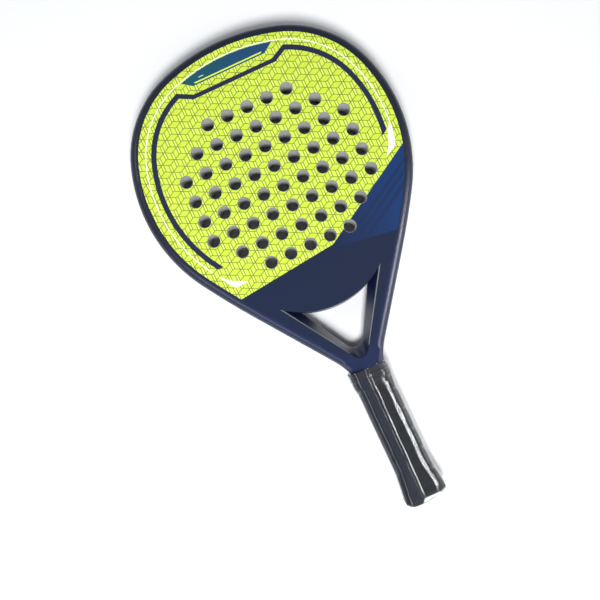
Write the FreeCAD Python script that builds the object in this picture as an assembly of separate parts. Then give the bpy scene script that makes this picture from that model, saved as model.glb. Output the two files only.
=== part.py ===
import FreeCAD, Part
import math
import os

# A padel racket lying on its back face, in millimetres.
# +Y runs from the butt to the top of the head, +X to the right, +Z out of the front face.
# The origin is the centre of the bounding box, on the surface that the racket lies on.

V = FreeCAD.Vector

# ---------------------------------------------------------------- overall sizes
overall_length = 455.0      # top of the head to the end of the butt cap
head_width = 254.0
thickness = 38.0
strap_bow = 4.6             # how far the wrist strap bows out past the butt cap

# ---------------------------------------------------------------- head outline
top_radius = 180.0
top_turn = 18.0             # degrees that each arc turns through, from the top of the head
shoulder_turn = 52.0
side_radius = 145.0
side_turn = 52.0
flank_radius = 800.0
flank_turn = 4.0
neck_radius = 75.0          # hollow curve from the arms into the handle
edge_radius = 8.0           # rounding of the frame's outer edges

# ---------------------------------------------------------------- frame tube
tube_width = 16.0
tube_wall = 2.0
leg_half_width = 11.0       # the two tube legs lie side by side in the handle
leg_half_depth = 9.5
neck_ramp_length = 38.0     # the neck thins from the full thickness to the legs
neck_ramp_lead = 20.0       # the part of that ramp above the collar
neck_ramp_steps = 8
hidden_neck = 25.8          # the part of the neck's curve that the handle covers
ramp_bevel = 4.5            # bevels of the neck's corners: where the ramp starts,
collar_bevel = 5.2          # at the collar's top,
leg_bevel = 3.0             # and along the legs
neck_clearance = 0.2        # from the neck's curve to the ramp's envelope, so that they don't touch

# ---------------------------------------------------------------- faces and core
face_thickness = 1.3
face_land = 0.5             # flat of the frame around each face
hole_pitch = 19.5
hole_diameter = 11.0
hole_bevel = 0.5
hole_counts = (5, 7, 9, 9, 9, 9, 7, 5)
hole_grid_drop = 134.7      # top of the head to the centre of the hole pattern

# ---------------------------------------------------------------- throat opening
# Arm widths are measured across the racket: at the opening's top corners, and at its foot.
throat_drop = 246.0         # top of the head to the top corners
throat_height = 59.6        # top corners to the foot
face_arm_top = 22.4
face_arm_low = 17.3
face_sag = 16.5             # how far the bridge's lower edge hangs between the corners
face_foot_radius = 7.0
waist_drop = 11.0           # half way through the racket, the opening is smaller all round
waist_rise = 8.0
waist_arm_top = 30.4
waist_arm_low = 23.9
waist_sag = 7.2
waist_foot_radius = 9.2
lip_depth = 1.6             # the opening's edge is rolled over at each face,
lip_spread = 0.08           # by this share of the way from the waist to the face
waist_round = 2.3           # and blunt at the waist

# ---------------------------------------------------------------- bridge
bridge_height = 14.0
bridge_wall = 2.5
bridge_top_radius = 150.0
bridge_seat_radius = 150.0
bridge_seat_cover = 3.0     # the seat's lowest point below the opening's waist

# ---------------------------------------------------------------- handle
pallet_side = 3.6           # pallet beside the legs
pallet_cover = 3.1          # and in front of and behind them
pallet_bevel = 4.6
pallet_lead = 7.0           # the pallet and the grip start this far below the collar's top
leg_end_gap = 9.0           # the legs and the pallet stop this far above the butt's end
grip_thickness = 1.6
butt_flare_width = 3.2
butt_flare_depth = 1.6
flare_length = 30.0
flare_knee = 12.0
flare_knee_share = 0.69
flare_end = 4.0
cap_skirt_length = 24.0
grip_over_cap = 1.5
cap_rim_height = 2.5
cap_edge = 1.0
collar_length = 14.0
collar_wall = 0.5           # rubber over the tape, at the collar's thinnest
collar_fade = 5.0
rib_count = 3
rib_height = 0.5
rib_width = 2.0
tape_thickness = 0.4
tape_lead = 9.0
tape_length = 8.0

# ---------------------------------------------------------------- strap, pin, fasteners, film
soft_gap = 0.3
strap_width = 14.6
strap_offset = -10.8        # across the racket, where the strap rounds the butt
strap_thickness = 2.0       # two layers of webbing pressed flat
strap_lead = 1.0            # the strap's upper fold stands this far above the collar
strap_low_angles = (101.5, 147.5)    # what the strap covers at the butt, degrees from +X
strap_high_angles = (103.0, 176.0)   # and at the collar, where its two layers fan out
tongue_width = 12.0         # the webbing narrows to go through the butt cap
tongue_offset = -8.3
tongue_thickness = 5.0      # thickness where it goes round its pin
slot_clearance = 0.3
pin_radius = 1.5
pin_length = 16.0
pin_height = 5.0            # above the butt's end
staple_wire = 0.8
staple_span = 9.0
staple_reach = 4.6
staple_height = 16.0
tack_head_radius = 2.0
tack_head_thickness = 0.5
tack_shank_radius = 0.5
tack_shank_length = 3.2
tack_height = 15.0
tack_offset = 6.0
film_thickness = 0.4
film_gap = 0.2
film_lead = 1.5
film_margin = 2.0           # degrees from the strap's edges to the film's inner wall
film_wall_angle = 1.5       # degrees from there to its outer wall

# ---------------------------------------------------------------- places, from the sizes
half_width = head_width / 2
pallet_half_width = leg_half_width + pallet_side
pallet_half_depth = leg_half_depth + pallet_cover
mid_z = thickness / 2
head_top_y = (overall_length + strap_bow) / 2
butt_y = head_top_y - overall_length
strap_end_y = butt_y - strap_bow
leg_end_y = butt_y + leg_end_gap
grid_y = head_top_y - hole_grid_drop
throat_y = head_top_y - throat_drop
throat_foot_y = throat_y - throat_height
waist_y = throat_y - waist_drop
waist_foot_y = throat_foot_y + waist_rise
face_inset = edge_radius + face_land
far = overall_length
bevel_share = 2 - math.sqrt(2)      # growth of a 45 degree bevel on an outline moved out by 1


def outline_arcs():
    """Centre, radius and headings of each convex arc of the right half, from the top down."""
    heads = [0.0]
    for turn in (top_turn, shoulder_turn, side_turn, flank_turn):
        heads.append(heads[-1] + math.radians(turn))
    start, end = math.sin(heads[1]), math.sin(heads[2])
    shoulder_radius = (half_width - top_radius * start - side_radius * (1 - end)) / (end - start)
    arcs = []
    x, y = 0.0, head_top_y
    for i, radius in enumerate((top_radius, shoulder_radius, side_radius, flank_radius)):
        cx = x - radius * math.sin(heads[i])
        cy = y - radius * math.cos(heads[i])
        arcs.append((cx, cy, radius, heads[i], heads[i + 1]))
        x = cx + radius * math.sin(heads[i + 1])
        y = cy + radius * math.cos(heads[i + 1])
    return arcs, x, y, heads[-1] - math.pi / 2


ARCS, arm_x, arm_y, arm_slope = outline_arcs()
neck_x = leg_half_width + neck_radius * (1 - math.cos(arm_slope))
neck_y = arm_y - (arm_x - neck_x) / math.tan(arm_slope) - neck_radius * math.sin(arm_slope)
collar_y = neck_y + hidden_neck
grip_top_y = collar_y - pallet_lead
ramp_y = collar_y + neck_ramp_lead


# ---------------------------------------------------------------- flat outlines
def arc_by_heading(cx, cy, radius, start, end):
    """An arc between two headings: a heading of 0 is the circle's top, 90 degrees its right."""
    points = []
    for a in (start, (start + end) / 2, end):
        points.append(V(cx + radius * math.sin(a), cy + radius * math.cos(a), 0))
    return Part.Arc(*points).toShape()


def line(a, b):
    return Part.LineSegment(a, b).toShape()


def ruled(loops):
    """A solid with straight sides from each closed loop of edges to the next."""
    faces = [Part.Face(Part.Wire(loops[0])), Part.Face(Part.Wire(loops[-1]))]
    for lower, upper in zip(loops, loops[1:]):
        faces += [Part.makeRuledSurface(a, b) for a, b in zip(lower, upper)]
    shell = Part.Shell(faces)
    shell.sewShape()
    solid = Part.Solid(Part.Shell(shell.Faces))
    if solid.Volume < 0:
        solid.reverse()
    return solid


def polygon(points):
    """A closed loop of straight edges."""
    return [line(a, b) for a, b in zip(points, points[1:] + points[:1])]


def block(x0, x1, y0, y1, z0, z1):
    return Part.makeBox(x1 - x0, y1 - y0, z1 - z0, V(x0, y0, z0))


def outline_face(inset, stop_y=None):
    """The racket's outline moved in by inset: all of it, or only the head down to stop_y."""
    edges = [arc_by_heading(cx, cy, radius - inset, a0, a1) for cx, cy, radius, a0, a1 in ARCS]
    cx, cy, radius, _, heading = ARCS[-1]
    last = V(cx + (radius - inset) * math.sin(heading), cy + (radius - inset) * math.cos(heading), 0)
    if stop_y is None:
        hollow = neck_radius + inset
        centre_x = leg_half_width + neck_radius
        edges.append(line(last, V(centre_x - hollow * math.cos(arm_slope),
                                  neck_y + hollow * math.sin(arm_slope), 0)))
        edges.append(arc_by_heading(centre_x, neck_y, hollow, -math.pi / 2 + arm_slope, -math.pi / 2))
        foot = V(centre_x - hollow, leg_end_y, 0)
        edges.append(line(V(foot.x, neck_y, 0), foot))
    else:
        foot = V(last.x - (last.y - stop_y) * math.tan(arm_slope), stop_y, 0)
        edges.append(line(last, foot))
    mirrored = [edge.mirror(V(0, 0, 0), V(1, 0, 0)) for edge in edges]
    base = line(foot, V(-foot.x, foot.y, 0))
    return Part.Face(Part.Wire(Part.sortEdges(edges + [base] + mirrored)[0]))


def above_arc(radius, low_y, grow=0.0):
    """Everything above an arc that hangs down to low_y on the axis, grown downwards."""
    r = radius + grow
    centre_y = low_y + radius
    left, right = V(-r, centre_y, 0), V(r, centre_y, 0)
    top = head_top_y + far
    edges = [Part.Arc(left, V(0, centre_y - r, 0), right).toShape(),
             line(right, V(r, top, 0)), line(V(r, top, 0), V(-r, top, 0)), line(V(-r, top, 0), left)]
    return Part.Face(Part.Wire(edges)).extrude(V(0, 0, thickness))


# ---------------------------------------------------------------- body of the racket
def octagon(y, hx, hz, bevel):
    """An eight-sided section across the racket at height y."""
    corners = [(hx, hz - bevel), (hx - bevel, hz), (bevel - hx, hz), (-hx, hz - bevel),
               (-hx, bevel - hz), (bevel - hx, -hz), (hx - bevel, -hz), (hx, bevel - hz)]
    return polygon([V(x, y, mid_z + z) for x, z in corners])


def neck_section(share, inset):
    """What the neck's ramp leaves of the racket, at a share of the way down the ramp."""
    y = ramp_y - min(share, 1.0) * neck_ramp_length
    thinned = (1 - math.cos(math.pi * min(share, 1.0))) / 2
    hz = mid_z + (leg_half_depth - mid_z) * thinned
    rise = max(0.0, y - neck_y)
    hx = leg_half_width + neck_radius - math.sqrt(neck_radius ** 2 - rise ** 2) + neck_clearance
    collar_share = neck_ramp_lead / neck_ramp_length
    if share < collar_share:
        bevel = ramp_bevel + (collar_bevel - ramp_bevel) * share / collar_share
    else:
        past = (min(share, 1.0) - collar_share) / (1 - collar_share)
        bevel = collar_bevel + (leg_bevel - collar_bevel) * past
    if share > 1.0:
        y = leg_end_y + inset
    return octagon(y, hx - inset, hz - inset, bevel - bevel_share * inset)


def ramp_envelope(inset):
    """The head and the arms uncut, then the neck thinning to the legs inside the handle."""
    head = block(-half_width, half_width, ramp_y, head_top_y, 0, thickness)
    steps = neck_ramp_steps
    return head.fuse(ruled([neck_section(i / steps, inset) for i in range(steps + 2)]))


def racket_body(inset):
    """The outside of the frame, moved in by inset, with rounded edges."""
    solid = outline_face(inset).extrude(V(0, 0, thickness - 2 * inset))
    solid.translate(V(0, 0, inset))
    rim = []
    for edge in solid.Edges:
        box = edge.BoundBox
        if box.ZLength < 0.01 and box.YMax > leg_end_y + 0.01:
            rim.append(edge)
    return solid.makeFillet(edge_radius - inset, rim).common(ramp_envelope(inset))


def throat_loop(z, share, grow):
    """The throat opening in the plane at height z, at a share of the way from face to waist."""
    face = (throat_y, face_arm_top, throat_foot_y, face_arm_low, face_sag, face_foot_radius)
    waist = (waist_y, waist_arm_top, waist_foot_y, waist_arm_low, waist_sag, waist_foot_radius)
    sizes = [a + (b - a) * share for a, b in zip(face, waist)]
    corner_y, arm_top, low_y, arm_low, sag, foot_radius = sizes
    across = math.tan(arm_slope)
    top = V(arm_x - (arm_y - corner_y) * across - arm_top, corner_y, z)
    low = V(arm_x - (arm_y - low_y) * across - arm_low, low_y, z)
    tilt = math.atan2(top.x - low.x, top.y - low.y)
    out = V(math.cos(tilt), -math.sin(tilt), 0) * grow
    apex = (low + out).y - (low + out).x / math.tan(tilt)
    radius = foot_radius + grow
    centre_y = apex + radius / math.sin(tilt)
    heel = V(radius * math.cos(tilt), centre_y - radius * math.sin(tilt), z)
    corner = top + out + V(0, 2 * grow, 0)
    hang = V(0, corner_y - sag + grow, z)
    flip = lambda p: V(-p.x, p.y, p.z)
    return [Part.Arc(flip(corner), hang, corner).toShape(), line(corner, heel),
            Part.Arc(heel, V(0, centre_y - radius, z), flip(heel)).toShape(),
            line(flip(heel), flip(corner))]


def throat_tool(grow=0.0):
    """The throat opening as a solid: wide at both faces, with its waist half way through."""
    shares = ((0.0, -lip_spread), (0.3 * lip_depth, -0.1 * lip_spread), (lip_depth, lip_depth / mid_z),
              (mid_z - waist_round, 1 - waist_round / mid_z), (mid_z, 1 - 0.4 * waist_round / mid_z))
    loops = [throat_loop(depth, share, grow) for depth, share in shares]
    loops += [throat_loop(thickness - depth, share, grow) for depth, share in reversed(shares[:-1])]
    return ruled(loops)


def head_well(grow=0.0):
    """The space inside the head's tube, which the core and the bridge fill."""
    seat_y = waist_y - waist_sag - bridge_seat_cover
    inside = outline_face(tube_width - grow, seat_y - bridge_seat_cover - grow)
    return inside.extrude(V(0, 0, thickness)).common(above_arc(bridge_seat_radius, seat_y, grow))


def core_limit(grow=0.0):
    """Everything above the bridge."""
    return above_arc(bridge_top_radius, throat_y - face_sag + bridge_height, grow)


def face_plate(z):
    """A face sheet before it is drilled, from height z up."""
    plate = outline_face(face_inset).extrude(V(0, 0, face_thickness))
    plate.translate(V(0, 0, z))
    return plate.common(block(-half_width, half_width, ramp_y, head_top_y, 0, thickness))


FACE_LEVELS = {"front_face": thickness - face_thickness, "back_face": 0.0}
BODY = racket_body(0.0)
THROAT = throat_tool()
BETWEEN_FACES = block(-half_width, half_width, leg_end_y, head_top_y,
                      face_thickness, thickness - face_thickness)


def hole_places():
    """Centres of the drilled holes: rows from the top down, on one square grid."""
    places = []
    for row, count in enumerate(hole_counts):
        y = grid_y + ((len(hole_counts) - 1) / 2 - row) * hole_pitch
        for i in range(count):
            places.append(((i - (count - 1) / 2) * hole_pitch, y))
    return places


def drilled(shape):
    drills = [Part.makeCylinder(hole_diameter / 2, thickness, V(x, y, 0)) for x, y in hole_places()]
    return shape.cut(Part.makeCompound(drills))


def bevelled(face, z, direction):
    """Break the outer edge of each hole in a face: z is the face's outside, direction its normal."""
    r = hole_diameter / 2
    start = z - direction * hole_bevel
    cones = []
    for x, y in hole_places():
        cones.append(Part.makeCone(r, r + hole_bevel, hole_bevel, V(x, y, start), V(0, 0, direction)))
    return face.cut(Part.makeCompound(cones))


def frame_cavity():
    """The inside of the frame's tube: round the head, down both arms and both legs."""
    cavity = racket_body(tube_wall).cut(head_well(tube_wall)).cut(throat_tool(tube_wall))
    skin = face_thickness + tube_wall
    cavity = cavity.common(block(-half_width, half_width, leg_end_y, head_top_y, skin, thickness - skin))
    web = block(-tube_wall, tube_wall, leg_end_y, waist_foot_y, 0, thickness)
    return cavity.cut(web)


def frame_tube(cavity):
    tube = BODY.cut(head_well()).cut(THROAT)
    for z in FACE_LEVELS.values():
        tube = tube.cut(face_plate(z))
    return tube.cut(cavity)


def foam_core():
    return drilled(head_well().common(core_limit()).common(BETWEEN_FACES))


def bridge_foam():
    foam = head_well(-bridge_wall).cut(core_limit(bridge_wall)).cut(throat_tool(bridge_wall))
    skin = face_thickness + bridge_wall
    return foam.common(block(-half_width, half_width, leg_end_y, head_top_y, skin, thickness - skin))


def throat_bridge(foam):
    return head_well().cut(core_limit()).cut(THROAT).common(BETWEEN_FACES).cut(foam)


def face_sheet(name):
    z = FACE_LEVELS[name]
    sheet = drilled(face_plate(z).cut(THROAT))
    if name == "front_face":
        return bevelled(sheet, thickness, 1)
    return bevelled(sheet, 0.0, -1)


# ---------------------------------------------------------------- sections of the handle
def flare(y):
    """How far the handle has flared at height y: 0 along the grip, 1 at the butt."""
    up = y - butt_y
    if up >= flare_length:
        return 0.0
    if up >= flare_knee:
        return flare_knee_share * (flare_length - up) / (flare_length - flare_knee)
    if up >= flare_end:
        return flare_knee_share + (1 - flare_knee_share) * (flare_knee - up) / (flare_knee - flare_end)
    return 1.0


def section(y, grow, share):
    """An eight-sided section of the handle, moved out from the pallet by grow."""
    hx = pallet_half_width + share * butt_flare_width + grow
    hz = pallet_half_depth + share * butt_flare_depth + grow
    return octagon(y, hx, hz, pallet_bevel + bevel_share * grow)


def along_handle(stations):
    """A solid through flared sections: each station is a height and how far it is moved out."""
    top, bottom = stations[0][0], stations[-1][0]
    rows = list(stations)
    for up in (flare_length, flare_knee, flare_end):
        y = butt_y + up
        if bottom + 0.01 < y < top - 0.01:
            i = next(i for i, row in enumerate(rows) if row[0] < y)
            (ya, ga), (yb, gb) = rows[i - 1], rows[i]
            rows.insert(i, (y, gb + (ga - gb) * (y - yb) / (ya - yb)))
    return ruled([section(y, grow, flare(y)) for y, grow in rows])


collar_grow = grip_thickness + tape_thickness + collar_wall


def envelope(grow):
    """The outside of the whole handle, moved out by grow, from above the collar to the strap's bow."""
    over_collar = collar_grow + rib_height + grow
    over_grip = grip_thickness + grow
    collar_end = collar_y - collar_length
    return along_handle([(collar_y + film_lead, over_collar), (collar_end, over_collar),
                         (collar_end - collar_fade, over_grip), (strap_end_y, over_grip)])


def strap_wedge(margin, top_y):
    """The sector of the handle that the strap lies in, widened by margin degrees on each side."""
    loops = []
    for y in (strap_end_y, top_y):
        share = (y - butt_y) / (collar_y - butt_y)
        points = [V(0, y, mid_z)]
        for low, high, side in zip(strap_low_angles, strap_high_angles, (-1, 1)):
            a = math.radians(low + (high - low) * share + side * margin)
            points.append(V(half_width * math.cos(a), y, mid_z + half_width * math.sin(a)))
        loops.append(polygon(points))
    return ruled(loops)


# ---------------------------------------------------------------- pieces of the handle
def pallet_block():
    sections = [section(y, 0.0, 0.0) for y in (grip_top_y, leg_end_y)]
    return ruled(sections)


def pallet_half(low_z, high_z):
    half = block(-half_width, half_width, leg_end_y, grip_top_y, low_z, high_z)
    return pallet_block().common(half).cut(BODY)


def strap_tongue(clearance):
    """The stretch of webbing inside the butt cap, or with a clearance the slot for it."""
    reach = tongue_width / 2 + clearance
    depth = tongue_thickness / 2 + clearance
    return block(tongue_offset - reach, tongue_offset + reach, strap_end_y,
                 butt_y + pin_height + depth, mid_z - depth, mid_z + depth)


def strap_pin():
    start = V(tongue_offset - pin_length / 2, butt_y + pin_height, mid_z)
    return Part.makeCylinder(pin_radius, pin_length, start, V(1, 0, 0))


def cap_body():
    """The butt cap before its slot and pin hole: a skirt over the pallet, and a rim."""
    sunk = grip_thickness - grip_over_cap
    skirt = along_handle([(butt_y + cap_skirt_length, sunk), (butt_y + cap_rim_height, sunk)])
    rim = along_handle([(butt_y + cap_rim_height, grip_thickness), (butt_y + cap_edge, grip_thickness),
                        (butt_y, grip_thickness - cap_edge)])
    return skirt.fuse(rim).cut(pallet_block())


def cap_staples():
    """Two staples that hold the cap's skirt to the pallet, one on each side."""
    y = butt_y + staple_height
    seat = pallet_half_width + flare(y) * butt_flare_width + grip_thickness - grip_over_cap
    half = staple_wire / 2
    staples = []
    for side in (-1, 1):
        crown = block(seat, seat + staple_wire, y - staple_span / 2, y + staple_span / 2,
                      mid_z - half, mid_z + half)
        for end in (-1, 1):
            leg_y = y + end * (staple_span / 2 - half)
            crown = crown.fuse(block(seat - staple_reach, seat, leg_y - half, leg_y + half,
                                     mid_z - half, mid_z + half))
        if side < 0:
            crown = crown.mirror(V(0, 0, 0), V(1, 0, 0))
        staples.append(crown.removeSplitter())
    return Part.makeCompound(staples)


def grip_tack():
    """The small tack that holds the start of the grip to the cap, in the front flat."""
    y = butt_y + tack_height
    share = flare(y + tack_head_radius)     # the head is let in at the end nearer the butt
    z = mid_z + pallet_half_depth + share * butt_flare_depth + grip_thickness - grip_over_cap
    head = Part.makeCylinder(tack_head_radius, tack_head_thickness, V(tack_offset, y, z))
    shank = Part.makeCylinder(tack_shank_radius, tack_shank_length, V(tack_offset, y, z - tack_shank_length))
    return head.fuse(shank)


def grip_block():
    return along_handle([(grip_top_y, grip_thickness), (butt_y + cap_rim_height, grip_thickness)])


def finishing_tape():
    top = collar_y - tape_lead
    outside = along_handle([(top, grip_thickness + tape_thickness),
                            (top - tape_length, grip_thickness + tape_thickness)])
    return outside.cut(grip_block())


def collar(tape):
    """The ribbed rubber ring over the grip's upper end and the neck."""
    stations = [(collar_y, collar_grow)]
    space = collar_length / rib_count
    for i in range(rib_count):
        middle = collar_y - space * (i + 0.5)
        stations.append((middle + rib_width, collar_grow))
        stations.append((middle + rib_width / 2, collar_grow + rib_height))
        stations.append((middle - rib_width / 2, collar_grow + rib_height))
        stations.append((middle - rib_width, collar_grow))
    stations.append((collar_y - collar_length, collar_grow))
    return along_handle(stations).cut(BODY).cut(grip_block()).cut(tape)


def wrist_strap():
    """Webbing folded flat along the handle, round the butt and through the cap to its pin."""
    outside = envelope(soft_gap + strap_thickness)
    top_y = collar_y + strap_lead
    band = outside.cut(envelope(soft_gap)).common(strap_wedge(0.0, top_y))
    reach = strap_width / 2
    bow = block(strap_offset - reach, strap_offset + reach, strap_end_y, butt_y - soft_gap,
                mid_z - tongue_thickness / 2, thickness).common(outside)
    return band.fuse(bow).fuse(strap_tongue(0.0)).cut(strap_pin()).removeSplitter()


def shrink_film():
    """The clear sleeve round the grip and the strap."""
    top_y = collar_y + film_lead
    over_strap = soft_gap + strap_thickness + film_gap
    inside = envelope(film_gap)
    inside = inside.fuse(envelope(over_strap).common(strap_wedge(film_margin, top_y)))
    outside = envelope(film_gap + film_thickness)
    bulge = strap_wedge(film_margin + film_wall_angle, top_y)
    outside = outside.fuse(envelope(over_strap + film_thickness).common(bulge))
    return outside.cut(inside).cut(BODY)


# ---------------------------------------------------------------- assembly
def build():
    parts = {}
    parts["frame_foam"] = frame_cavity()
    parts["frame_tube"] = frame_tube(parts["frame_foam"])
    parts["foam_core"] = foam_core()
    parts["bridge_foam"] = bridge_foam()
    parts["throat_bridge"] = throat_bridge(parts["bridge_foam"])
    for name in FACE_LEVELS:
        parts[name] = face_sheet(name)
    staples, tack = cap_staples(), grip_tack()
    parts["cap_staples"] = staples
    parts["grip_tack"] = tack
    parts["pallet_front"] = pallet_half(mid_z, thickness).cut(staples).cut(tack)
    parts["pallet_back"] = pallet_half(0.0, mid_z).cut(staples)
    parts["strap_pin"] = strap_pin()
    cap = cap_body()
    parts["butt_cap"] = cap.cut(strap_tongue(slot_clearance)).cut(strap_pin()).cut(staples).cut(tack)
    parts["grip_wrap"] = grip_block().cut(BODY).cut(pallet_block()).cut(cap).cut(staples).cut(tack)
    parts["finishing_tape"] = finishing_tape()
    parts["collar"] = collar(parts["finishing_tape"])
    parts["wrist_strap"] = wrist_strap()
    parts["shrink_film"] = shrink_film()
    return parts


os.makedirs("parts", exist_ok=True)
for name, shape in build().items():
    shape.exportStep("parts/" + name + ".step")
    state = "valid" if shape.isValid() else "INVALID"
    print(name, len(shape.Solids), "solids,", state, round(shape.Volume, 1), "mm3")
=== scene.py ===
# %% [markdown]
# # A padel racket, finished in Blender
#
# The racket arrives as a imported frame: eighteen engineering parts at their real size, in metres.
# Blender's job is the looks. Hard parts keep their meshes and get materials. The wrapped handle,
# which is soft, is modelled again here: a wound grip, a rubber collar, a webbing strap, and the
# clear film that is shrunk over all three.

# %% Load the frame
import math

import bmesh
import bpy
import numpy as np
from mathutils import Euler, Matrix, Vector, noise


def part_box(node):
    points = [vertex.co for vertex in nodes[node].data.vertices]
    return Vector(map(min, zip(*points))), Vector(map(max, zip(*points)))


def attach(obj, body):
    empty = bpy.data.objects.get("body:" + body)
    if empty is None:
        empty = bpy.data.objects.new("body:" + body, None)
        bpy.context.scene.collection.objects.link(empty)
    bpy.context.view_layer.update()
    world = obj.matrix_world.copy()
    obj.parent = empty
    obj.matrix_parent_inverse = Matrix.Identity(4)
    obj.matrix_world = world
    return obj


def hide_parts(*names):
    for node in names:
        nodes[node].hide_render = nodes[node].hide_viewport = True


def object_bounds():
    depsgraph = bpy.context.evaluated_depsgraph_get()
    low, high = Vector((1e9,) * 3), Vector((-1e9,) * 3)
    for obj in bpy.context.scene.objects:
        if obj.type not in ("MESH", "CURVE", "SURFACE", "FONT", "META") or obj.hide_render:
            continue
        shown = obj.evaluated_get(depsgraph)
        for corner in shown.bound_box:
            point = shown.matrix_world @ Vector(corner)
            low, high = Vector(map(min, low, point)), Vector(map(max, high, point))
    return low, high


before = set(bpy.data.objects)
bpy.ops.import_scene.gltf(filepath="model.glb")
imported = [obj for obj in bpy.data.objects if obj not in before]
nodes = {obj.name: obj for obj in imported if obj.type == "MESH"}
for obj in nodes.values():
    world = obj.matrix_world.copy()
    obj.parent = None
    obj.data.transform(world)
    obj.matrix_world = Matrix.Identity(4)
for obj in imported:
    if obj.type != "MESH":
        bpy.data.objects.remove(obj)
cad_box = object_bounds()
MM = 0.001
print("frame:", len(nodes), "parts, box", [[round(v, 4) for v in corner] for corner in cad_box])

# %% [markdown]
# ## Camera and light
#
# The camera hangs straight above the racket and is rolled, so that the handle points down to the
# right. It is near enough for perspective: the drilled holes far from the point under the camera
# show their walls. Most light comes from a lamp near the camera, on the handle's side, because
# light from there reaches into the holes. It would be mirrored in the flat faces and turn dark
# inks grey, so glossy rays don't see it. The two soft boxes stand well to the side, where they
# draw fine lines along rounded edges. Low beside the handle hang a strip on its left and a row of
# short lamps on its right. Diffuse rays don't see them, so they put highlights on the film
# without lighting what is dull. The gaps in the row help to break up the highlight on the right.
# They have a cost: from low down behind the head, the flat face mirrors them too.

# %% Camera
CAMERA_POINT = Vector((-29.9, -14.7, 778.0)) * MM
CAMERA_ROLL = math.radians(-24.9)
camera = bpy.data.objects.new("camera", bpy.data.cameras.new("camera"))
camera.data.angle = math.radians(40.1)
camera.location = CAMERA_POINT
camera.rotation_euler = Euler((0.0, 0.0, CAMERA_ROLL))
bpy.context.scene.collection.objects.link(camera)
bpy.context.scene.camera = camera
bpy.context.scene.view_settings.view_transform = "Standard"

# %% Lights


def area_light(name, place, target, size, power, colour=(1.0, 1.0, 1.0)):
    """A rectangular lamp at place that faces target, in metres and watts."""
    lamp = bpy.data.objects.new(name, bpy.data.lights.new(name, "AREA"))
    lamp.data.shape = "RECTANGLE"
    lamp.data.size, lamp.data.size_y = size
    lamp.data.energy = power
    lamp.data.color = colour
    lamp.location = place
    lamp.rotation_euler = (Vector(target) - Vector(place)).to_track_quat("-Z", "Y").to_euler()
    bpy.context.scene.collection.objects.link(lamp)
    return lamp


hole_light = area_light("hole_light", (-0.20, -0.42, 1.30), (0.0, 0.0, 0.0), (0.35, 0.35), 20.5)
hole_light.visible_glossy = False
hole_light.visible_transmission = False
area_light("soft_box", (0.95, -0.85, 1.15), (0.0, 0.0, 0.0), (0.4, 0.4), 2.2)
area_light("fill_box", (-1.05, 0.80, 1.20), (0.0, 0.05, 0.0), (0.5, 0.5), 3.5, (0.93, 0.96, 1.0))
GLINT_MIDDLE = -0.28
GLINT_STEP = 0.05
GLINT_HEIGHT = 0.40
GLINT_AIM_HEIGHT = 0.02


def glint_light(name, reach, along, size, power):
    """A low lamp beside the handle, for highlights only."""
    lamp = area_light(name, (reach, along, GLINT_HEIGHT), (0.0, along, GLINT_AIM_HEIGHT), size, power)
    lamp.visible_diffuse = False


glint_light("strip_left", -0.48, GLINT_MIDDLE, (0.5, 0.16), 1.4)
for step in (2, 1, 0, -1, -2):
    glint_light("strip_right", 0.50, GLINT_MIDDLE + GLINT_STEP * step, (0.026, 0.30), 0.8)

world = bpy.data.worlds.new("studio")
bpy.context.scene.world = world
world.use_nodes = True
world.node_tree.nodes["Background"].inputs["Color"].default_value = (0.86, 0.89, 0.93, 1.0)
world.node_tree.nodes["Background"].inputs["Strength"].default_value = 0.27

# %% [markdown]
# ## Small helpers for node trees
#
# A material is a small calculation. These helpers keep it readable: `node` adds one node and
# connects its inputs, `maths` adds one sum, and `mix` lays one colour over another.

# %% Node helpers


def node(tree, kind, inputs=None, **settings):
    """Add a shader node; inputs maps a socket's name or number to a value or another socket."""
    made = tree.nodes.new("ShaderNode" + kind)
    for name, value in settings.items():
        setattr(made, name, value)
    for key, value in (inputs or {}).items():
        if isinstance(value, bpy.types.NodeSocket):
            tree.links.new(value, made.inputs[key])
        else:
            made.inputs[key].default_value = value
    return made


def maths(tree, operation, a, b=0.0, c=0.0):
    """One Math node's result; each value is a number or a socket."""
    return node(tree, "Math", {0: a, 1: b, 2: c}, operation=operation).outputs[0]


def vector_maths(tree, operation, a, b=(0.0, 0.0, 0.0), c=(0.0, 0.0, 0.0)):
    """One Vector Math node's result, which is a number for a length or a dot product."""
    made = node(tree, "VectorMath", {0: a, 1: b, 2: c}, operation=operation)
    return made.outputs["Value" if operation in ("DOT_PRODUCT", "LENGTH") else "Vector"]


def mix(tree, factor, under, over):
    """Lay the colour over onto the colour under, by factor."""
    return node(tree, "Mix", {0: factor, 6: under, 7: over}, data_type="RGBA").outputs[2]


def colour(code):
    """A linear colour from a designer's hex code."""
    parts = [int(code[i : i + 2], 16) / 255 for i in (0, 2, 4)]
    linear = [p / 12.92 if p <= 0.04045 else ((p + 0.055) / 1.055) ** 2.4 for p in parts]
    return (*linear, 1.0)


def group(name, inputs, outputs):
    """An empty node group: inputs and outputs are lists of (name, socket kind, default)."""
    tree = bpy.data.node_groups.new(name, "ShaderNodeTree")
    for direction, sockets in (("INPUT", inputs), ("OUTPUT", outputs)):
        for label, kind, default in sockets:
            socket = tree.interface.new_socket(label, in_out=direction, socket_type="NodeSocket" + kind)
            if default is not None:
                socket.default_value = default
    return tree, tree.nodes.new("NodeGroupInput").outputs, tree.nodes.new("NodeGroupOutput").inputs


def use(tree, name, inputs=None):
    """Place a node group in a material."""
    made = tree.nodes.new("ShaderNodeGroup")
    made.node_tree = bpy.data.node_groups[name]
    for key, value in (inputs or {}).items():
        if isinstance(value, bpy.types.NodeSocket):
            tree.links.new(value, made.inputs[key])
        else:
            made.inputs[key].default_value = value
    return made.outputs


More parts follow.
